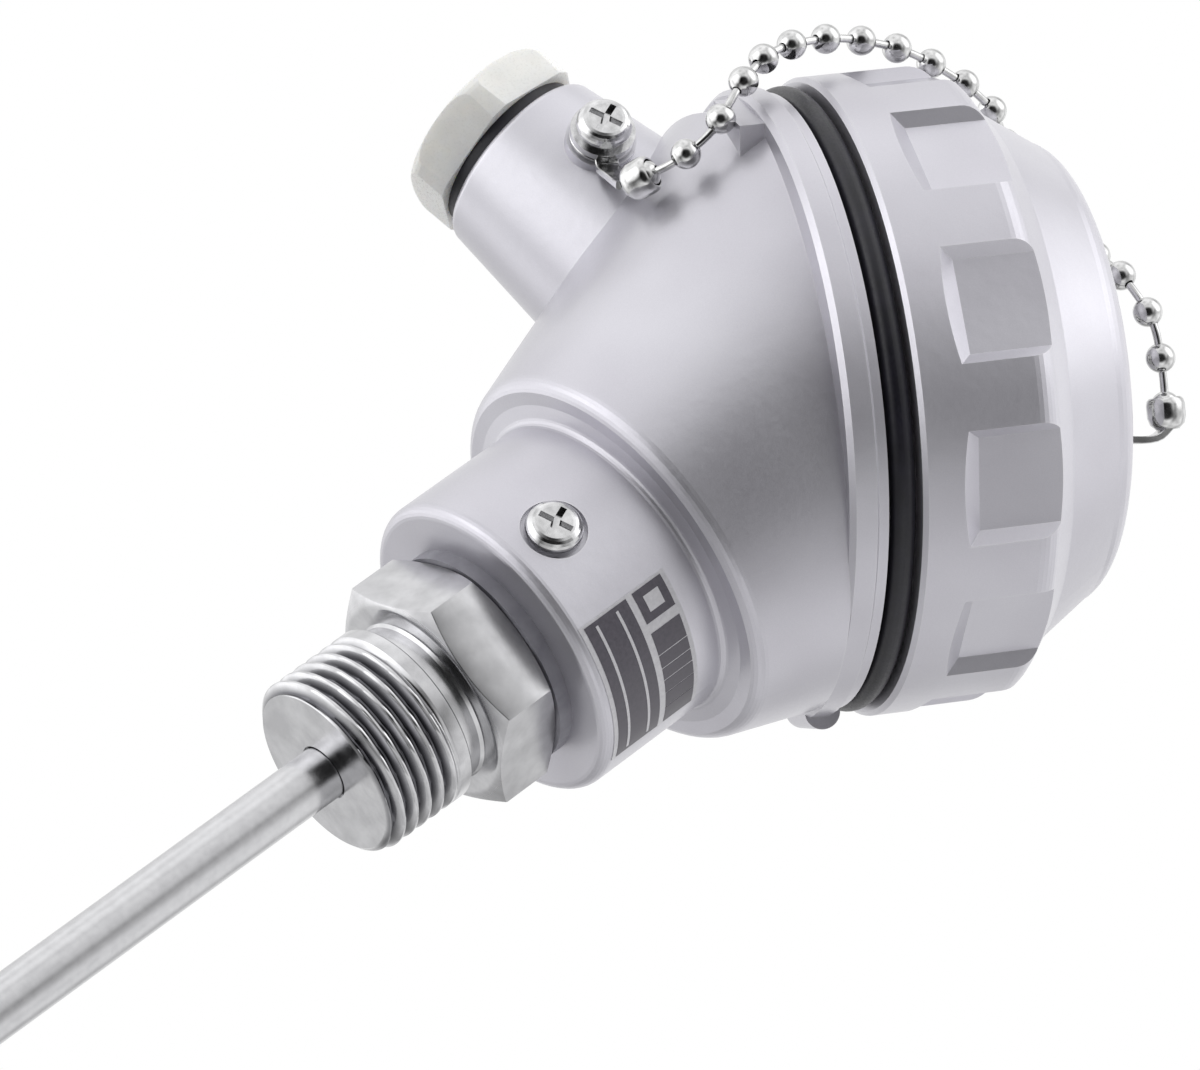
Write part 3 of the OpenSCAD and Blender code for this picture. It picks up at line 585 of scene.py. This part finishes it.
last, last_way = balls[-1], -chain_way(ball_count - 1)
bell_back = last - last_way * BELL_BACK
strip = [Vector((-2.6, last.y, PAD_TOP + TAB_T / 2)), Vector((-5.0, last.y, PAD_TOP + TAB_T / 2)),
         Vector((-7.2, last.y, PAD_TOP + 0.9)), Vector((-8.3, last.y, PAD_TOP + 3.2)),
         Vector((-8.6, last.y, last.z - 1.8)), bell_back]
strip = [spline_through(strip, k / 4) for k in range(4 * (len(strip) - 1) + 1)]
anchor = make("stamped_cap_anchor",
              join([lathe(tab_ring(CAP_TAB_R), even_turns(48), chain_place @ Matrix.Translation((0, 0, PAD_TOP))),
                    sweep([chain_place @ p for p in strip], STRAP, chain_place.to_3x3() @ Vector((0, 1, 0))),
                    lathe(BELL, even_turns(32), along_chain(last, last_way))]),
              FINISH["chain_nickel"], "cap_swivel", 40.0)
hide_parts("cap_anchor")

# ---------------------------------------------------------------- cut threads of the collar and the cap
COLLAR_R, CAP_BORE_R, CAP_PITCH = 31.2, 31.6, 2.4
# the crest and each flank are shares of a pitch
RIDGE_H, RIDGE_CREST, RIDGE_FLANK, RUN_OUT = 0.3, 0.2, 0.12, 1.2
RIDGE_STEP = 0.15
cap_place = Matrix.Translation(RIM) @ Matrix.Rotation(CAP_TILT, 4, "Y")


def ridge_rows(base, height, low, high, offset):
    """Rows of a right-handed ridge on a bore or a collar, running out at both ends."""
    def row_at(z):
        fade = max(0.0, min(1.0, (z - low) / RUN_OUT, (high - z) / RUN_OUT))

        def row(turn):
            phase = abs((z / CAP_PITCH - turn / (2 * math.pi) + offset) % 1.0 - 0.5)
            return base + height * fade * max(0.0, min(1.0, (RIDGE_CREST / 2 + RIDGE_FLANK - phase) / RIDGE_FLANK)), z
        return row
    count = int((high - low) / RIDGE_STEP)
    return [row_at(low + (high - low) * k / count) for k in range(count + 1)]


# the cap's ridge lies in the collar's groove, half a pitch on
for name, body, base, height, low, high, offset in (
        ("collar_thread", "head", COLLAR_R, RIDGE_H, 3.4, 11.6, 0.0),
        ("cap_thread", "cap", CAP_BORE_R, -RIDGE_H, 3.0, 13.0, 0.5)):
    back = base - height
    rows = ridge_rows(base, height, low, high, offset) + [(back, high), (back, low)]
    make(name, lathe(rows, even_turns(144), cap_place), MACHINED, body, 50.0)

# ---------------------------------------------------------------- printed strip on the neck
NECK_R = 17.7
FILM_LIFT, BAR_LIFT, LINE_LIFT = 0.06, 0.10, 0.13
# the lowest and highest edge of the upper row of bars
BARS_LOW, BARS_HIGH = 18.4, 22.5


def curved_tiles(name, tiles, lift, material):
    """Thin tiles on the neck, each (lowest angle, highest angle, lowest height, highest height)."""
    forms = []
    for a0, a1, z0, z1 in tiles:
        steps = max(2, int((a1 - a0) / 2))
        verts, faces = [], []
        for k in range(steps + 1):
            turn = math.radians(a0 + (a1 - a0) * k / steps)
            for r in (NECK_R - 0.05, NECK_R + lift):
                for zz in (z0, z1):
                    verts.append(Vector((r * math.cos(turn), r * math.sin(turn), zz)))
        for k in range(steps):
            a, b = 4 * k, 4 * k + 4
            faces += [(a + 2, a + 3, b + 3, b + 2), (a, b, b + 1, a + 1), (a + 1, b + 1, b + 3, a + 3),
                      (a, a + 2, b + 2, b)]
        faces += [(0, 1, 3, 2), (4 * steps, 4 * steps + 2, 4 * steps + 3, 4 * steps + 1)]
        forms.append((verts, faces))
    return make(name, join(forms), material, "head")


curved_tiles("neck_strip_film", [(-57.2, 2.0, 10.9, 23.1)], FILM_LIFT, PALE_FILM)
# a broad bar below, and above it a square and a row of plain bars
bars = [(-56.2, 1.0, 11.5, 17.5), (-56.3, -44.3, BARS_LOW, BARS_HIGH)]
edges = [-40.5, -31.7, -31.2, -26.2, -25.7, -21.0, -20.5, -15.0, -14.6, -8.0, -7.6, 1.0]
bars += [(edges[i], edges[i + 1], BARS_LOW, BARS_HIGH) for i in range(0, len(edges), 2)]
curved_tiles("neck_strip_bars", bars, BAR_LIFT, DARK_INK)
lines = [(-54.5, -1.0, 12.8, 13.15), (-54.5, -1.0, 15.7, 16.05), (-53.3, -47.3, 19.4, 21.5)]
curved_tiles("neck_strip_lines", lines, LINE_LIFT, PALE_FILM)

# ---------------------------------------------------------------- floor and studio light
FLOOR_HALF, FLOOR_Z = 6.0, -1.2
corners = [(x * FLOOR_HALF, y * FLOOR_HALF, FLOOR_Z) for x, y in ((-1, -1), (1, -1), (1, 1), (-1, 1))]
floor_mesh = bpy.data.meshes.new("floor")
floor_mesh.from_pydata(corners, [], [(0, 1, 2, 3)])
floor = bpy.data.objects.new("floor", floor_mesh)
scene.collection.objects.link(floor)
paper, tree, shader, place = begin("pale_matt_paper", {"Specular IOR Level": 0.2})
fibre = node(tree, "TexNoise", {}, grain(100.0, place))["Fac"]
patch = node(tree, "MapRange", {}, between(fibre, 0.0, 1.0))[0]
tint = node(tree, "Mix", {"data_type": "RGBA"}, {0: patch, 6: colour("#eeeeee"), 7: colour("#f4f4f4")})[2]
relief = node(tree, "Bump", {}, {"Strength": 0.1, "Distance": MM, "Height": fibre})[0]
end(tree, shader, tint, node(tree, "MapRange", {}, between(fibre, 0.85, 0.95))[0], relief)
floor_mesh.materials.append(paper)
floor.visible_diffuse = False
floor.visible_glossy = False

# round soft boxes about the object, brightest first: across, up, towards the front, and brightness. The directions are
# corners of a divided icosahedron, and most of the brightnesses were fitted by a program, not chosen by hand.
SOFT_BOXES = [
    (0.81, 0.59, 0.0, 2.8), (-0.81, 0.26, 0.53, 2.59), (0.5, 0.16, -0.85, 1.6), (-1.0, 0.0, 0.0, 1.24),
    (-0.81, -0.26, -0.53, 1.18), (-0.81, 0.59, 0.0, 1.15), (0.0, 0.89, -0.45, 1.09), (1.0, 0.0, 0.0, 1.07),
    (0.0, -0.53, 0.85, 1.06), (0.31, 0.43, 0.85, 1.01), (0.0, 0.85, 0.53, 0.85), (0.31, 0.95, 0.0, 0.84),
    (-0.85, 0.28, -0.45, 0.81), (-0.5, 0.16, -0.85, 0.78), (-0.53, 0.72, 0.45, 0.77), (0.81, -0.59, 0.0, 0.77),
    (-0.81, -0.59, 0.0, 0.72), (-0.31, -0.95, 0.0, 0.68), (0.81, -0.26, -0.53, 0.61), (-0.5, 0.69, -0.53, 0.61),
    (0.31, -0.95, 0.0, 0.56), (-0.31, 0.95, 0.0, 0.54), (0.0, -0.89, 0.45, 0.51), (0.5, -0.69, 0.53, 0.47),
    (0.0, -0.85, -0.53, 0.45), (0.81, 0.26, 0.53, 0.4), (0.53, -0.72, -0.45, 0.39), (0.0, 0.53, -0.85, 0.26),
    (0.31, -0.43, -0.85, 0.12), (-0.5, -0.16, 0.85, 0.11)]
EVEN_LIGHT = 0.16
# each box fades out from its middle, so that a mirror shows no hard discs
BOX_FADE = 0.83
BOX_EDGE, BOX_CORE = math.cos(math.radians(40)), math.cos(math.radians(5))
DARK_EDGE, DARK_CORE = math.cos(math.radians(46)), math.cos(math.radians(22))
# cosines of the angles from straight behind the object, between which the backdrop fades in for mirrors
BACKDROP_EDGE, BACKDROP_CORE = 0.66, 0.86
SMOOTH = {"interpolation_type": "SMOOTHSTEP"}

studio = bpy.data.worlds.new("studio")
scene.world = studio
studio.use_nodes = True
sky = studio.node_tree
sky.nodes.clear()
direction = node(sky, "TexCoord", {}, {})["Generated"]
light = EVEN_LIGHT
for across, up, front, power in SOFT_BOXES:
    aim = (RIGHT * across + UP * up + BACK * front).normalized()
    facing = node(sky, "VectorMath", {"operation": "DOT_PRODUCT"}, {0: direction, 1: aim})["Value"]
    disc = node(sky, "MapRange", SMOOTH, between(facing, 0.0, power * BOX_FADE, BOX_EDGE, BOX_CORE))[0]
    light = node(sky, "Math", {"operation": "ADD"}, {0: disc, 1: light})[0]
# the dark of the room in front of the object, which bright metal mirrors in its middle
ahead = node(sky, "VectorMath", {"operation": "DOT_PRODUCT"}, {0: direction, 1: BACK})["Value"]
lit = node(sky, "MapRange", SMOOTH, between(ahead, 1.0, 0.05, DARK_EDGE, DARK_CORE))[0]
light = node(sky, "Math", {"operation": "MULTIPLY"}, {0: light, 1: lit})[0]
boxes = node(sky, "Background", {}, {"Strength": light})[0]
# a white backdrop: the camera sees it all round, and glass through itself; metal sees it where it stands, behind the
# object, and the soft boxes and the dark of the room elsewhere, as in a real studio
backdrop = node(sky, "Background", {}, {"Color": (1.0, 1.0, 1.0, 1.0), "Strength": 1.0})[0]
behind = node(sky, "VectorMath", {"operation": "DOT_PRODUCT"}, {0: direction, 1: -BACK})["Value"]
behind = node(sky, "MapRange", SMOOTH, between(behind, 0.0, 1.0, BACKDROP_EDGE, BACKDROP_CORE))[0]
ray = node(sky, "LightPath", {}, {})
mirrored = node(sky, "Math", {"operation": "MULTIPLY"}, {0: behind, 1: ray["Is Glossy Ray"]})[0]
direct = node(sky, "Math", {"operation": "MAXIMUM"}, {0: ray["Is Camera Ray"], 1: ray["Is Transmission Ray"]})[0]
white = node(sky, "Math", {"operation": "MAXIMUM"}, {0: direct, 1: mirrored})[0]
mixed = node(sky, "MixShader", {}, {0: white, 1: boxes, 2: backdrop})[0]
node(sky, "OutputWorld", {}, {"Surface": mixed})
